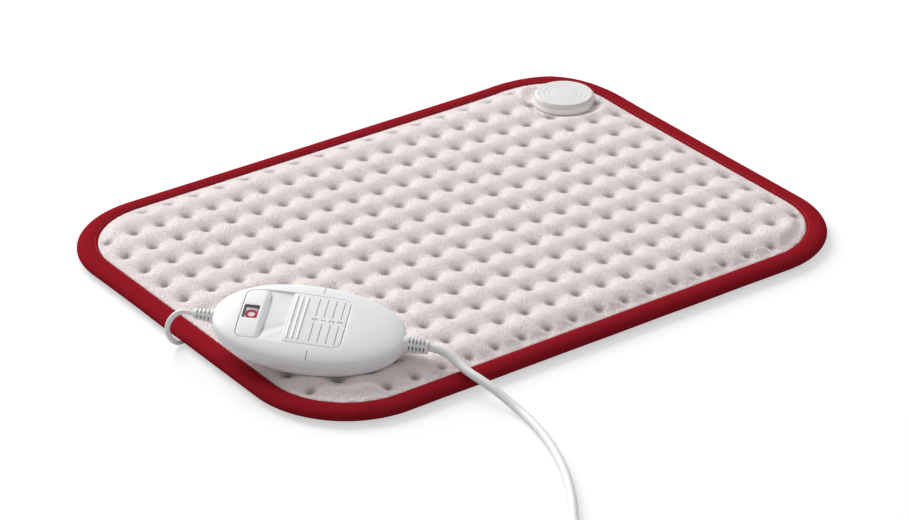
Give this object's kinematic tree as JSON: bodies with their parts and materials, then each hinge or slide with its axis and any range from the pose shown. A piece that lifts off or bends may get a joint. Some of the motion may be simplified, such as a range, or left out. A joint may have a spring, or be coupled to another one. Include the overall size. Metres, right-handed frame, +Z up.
{
  "type": "electric heating pad",
  "caption": "A plush electric heating pad with a red bound edge, a round corner coupling and a white handset whose ribbed slide switch sets the heat, lying on its front corner.",
  "frame": {"origin": "middle of the pad's underside, on the surface that the pad lies on", "axes": "+X along the pad's long side, +Y along its short side towards the corner coupling's edge, +Z up out of the plush face"},
  "size_m": [0.4549, 0.6407, 0.0415],
  "materials": {
    "plush": "short-pile plush",
    "felt": "brushed cotton",
    "non_woven": "thin non-woven sheet",
    "heating_wire": "silicone-sheathed wire",
    "binding_tape": "deep red folded velour tape",
    "white_plastic": "satin white moulded plastic",
    "cream_plastic": "off-white moulded plastic",
    "lead_jacket": "flexible white lead jacket",
    "dark_plastic": "dark moulded plastic",
    "circuit_board": "green coated laminate",
    "steel": "plated steel",
    "brass": "plated brass",
    "clear_window": "clear window",
    "lit_figure": "lit red figure"
  },
  "bodies": {
    "pad": {"top_cover": "plush", "bottom_cover": "felt", "heater_carrier": "non_woven", "heating_wire": "heating_wire", "overheat_thermostat_1": "steel", "overheat_thermostat_2": "steel", "edge_binding": "binding_tape", "coupling_base": "cream_plastic", "coupling_cap": "cream_plastic", "coupling_clamp_ring": "white_plastic", "coupling_pin_1": "brass", "coupling_pin_2": "brass", "coupling_pin_3": "brass", "coupling_plug": "cream_plastic", "upper_shell": "white_plastic", "lower_shell": "white_plastic", "detent_spring": "steel", "display_frame": "white_plastic", "window_lens": "clear_window", "digit_display": "lit_figure", "circuit_board": "circuit_board", "fuse": "steel", "capacitor": "dark_plastic", "triac": "dark_plastic", "pad_lead_terminal": "dark_plastic", "mains_lead_terminal": "dark_plastic", "pad_lead_gland": "lead_jacket", "mains_lead_gland": "lead_jacket", "pad_lead_core": "lead_jacket", "mains_lead_core": "lead_jacket", "housing_screw_1": "steel", "housing_screw_2": "steel", "housing_screw_3": "steel", "housing_screw_4": "steel", "pad_lead": "lead_jacket", "pad_lead_under": "lead_jacket", "mains_lead": "lead_jacket", "mains_coil": "lead_jacket", "mains_lead_tail": "lead_jacket", "coil_tie": "dark_plastic", "mains_plug": "lead_jacket", "plug_pin_1": "brass", "plug_pin_2": "brass"},
    "slider": {"slider_switch": "white_plastic", "contact_carrier": "dark_plastic", "wiper_spring": "brass"}
  },
  "joints": [
    {"name": "heat_slide", "type": "slide", "parent": "pad", "child": "slider", "axis": [-0.7074, 0.7025, 0.0785], "range_m": [0, 0.01575]}
  ]
}
